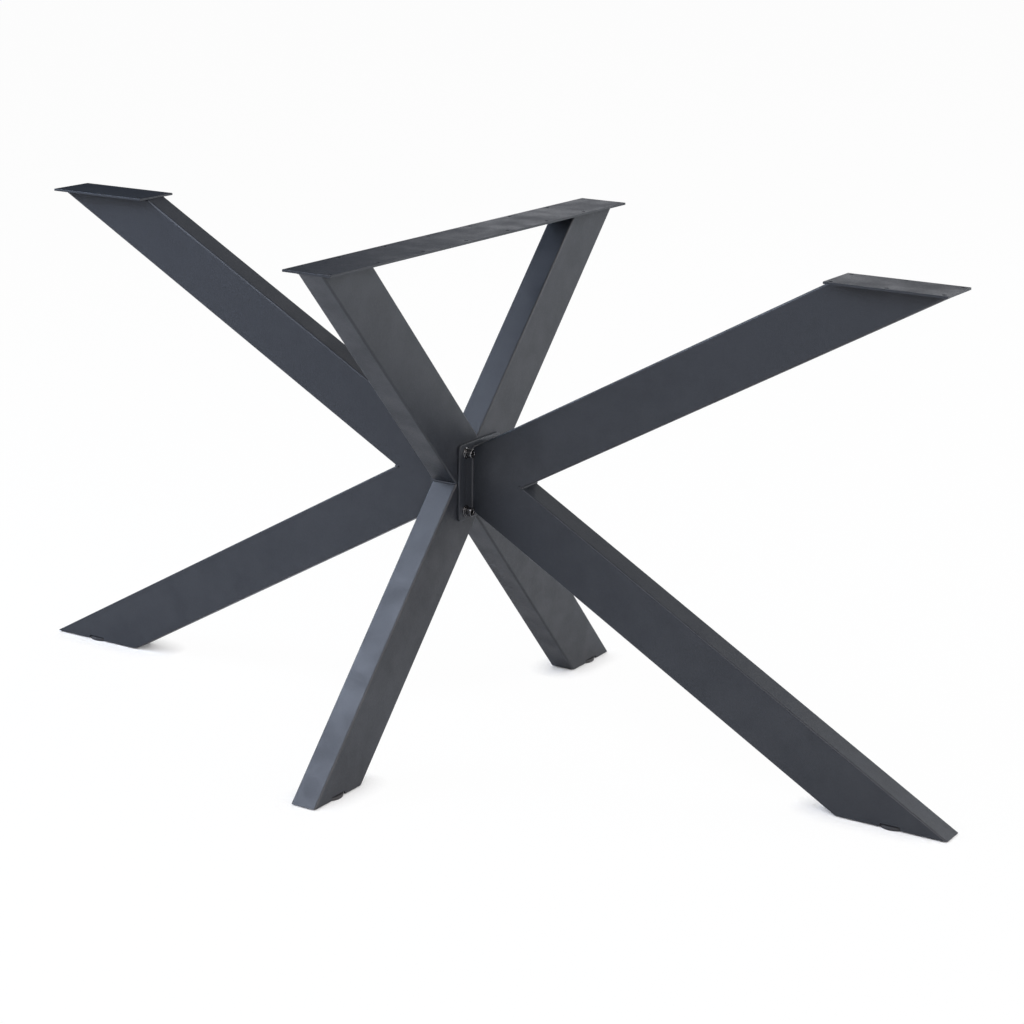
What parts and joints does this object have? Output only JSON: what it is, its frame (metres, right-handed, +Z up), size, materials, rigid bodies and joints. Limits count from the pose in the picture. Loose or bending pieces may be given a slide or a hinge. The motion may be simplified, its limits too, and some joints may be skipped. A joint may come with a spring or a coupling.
{
  "type": "table base",
  "caption": "Star table base of crossed rectangular steel tubes meeting at a bolted hub, with drilled plates on top and levelling feet below.",
  "frame": {"origin": "floor level, midway between the feet, below the hub", "axes": "+X along the table's length, +Y across it, +Z up"},
  "size_m": [1.523, 0.7814, 0.718],
  "materials": {
    "powder_coat": "fine textured powder coat",
    "black_screws": "black oxide",
    "zinc_plate": "zinc plated",
    "pad_plastic": "moulded"
  },
  "bodies": {
    "frame": {"right_upper_tube": "powder_coat", "right_lower_tube": "powder_coat", "right_foot_plate": "powder_coat", "left_upper_tube": "powder_coat", "left_lower_tube": "powder_coat", "left_foot_plate": "powder_coat", "front_upper_tube": "powder_coat", "front_lower_tube": "powder_coat", "front_foot_plate": "powder_coat", "back_upper_tube": "powder_coat", "back_lower_tube": "powder_coat", "back_foot_plate": "powder_coat", "right_top_plate": "powder_coat", "left_top_plate": "powder_coat", "centre_top_plate": "powder_coat", "right_hub_plate": "powder_coat", "left_hub_plate": "powder_coat", "right_hub_bolts": "black_screws", "right_hub_spring_washers": "black_screws", "right_hub_flat_washers": "black_screws", "left_hub_bolts": "black_screws", "left_hub_spring_washers": "black_screws", "left_hub_flat_washers": "black_screws", "right_hub_nuts": "zinc_plate", "left_hub_nuts": "zinc_plate", "right_foot_nut": "zinc_plate", "left_foot_nut": "zinc_plate", "front_foot_nut": "zinc_plate", "back_foot_nut": "zinc_plate"},
    "right_foot": {"right_foot_stud": "zinc_plate", "right_foot_pad": "pad_plastic"},
    "left_foot": {"left_foot_stud": "zinc_plate", "left_foot_pad": "pad_plastic"},
    "front_foot": {"front_foot_stud": "zinc_plate", "front_foot_pad": "pad_plastic"},
    "back_foot": {"back_foot_stud": "zinc_plate", "back_foot_pad": "pad_plastic"}
  },
  "joints": [
    {"name": "right_foot_level", "type": "slide", "parent": "frame", "child": "right_foot", "axis": [0, 0, -1], "range_m": [-0.001, 0.01]},
    {"name": "left_foot_level", "type": "slide", "parent": "frame", "child": "left_foot", "axis": [0, 0, -1], "range_m": [-0.001, 0.01]},
    {"name": "front_foot_level", "type": "slide", "parent": "frame", "child": "front_foot", "axis": [0, 0, -1], "range_m": [-0.001, 0.01]},
    {"name": "back_foot_level", "type": "slide", "parent": "frame", "child": "back_foot", "axis": [0, 0, -1], "range_m": [-0.001, 0.01]}
  ]
}
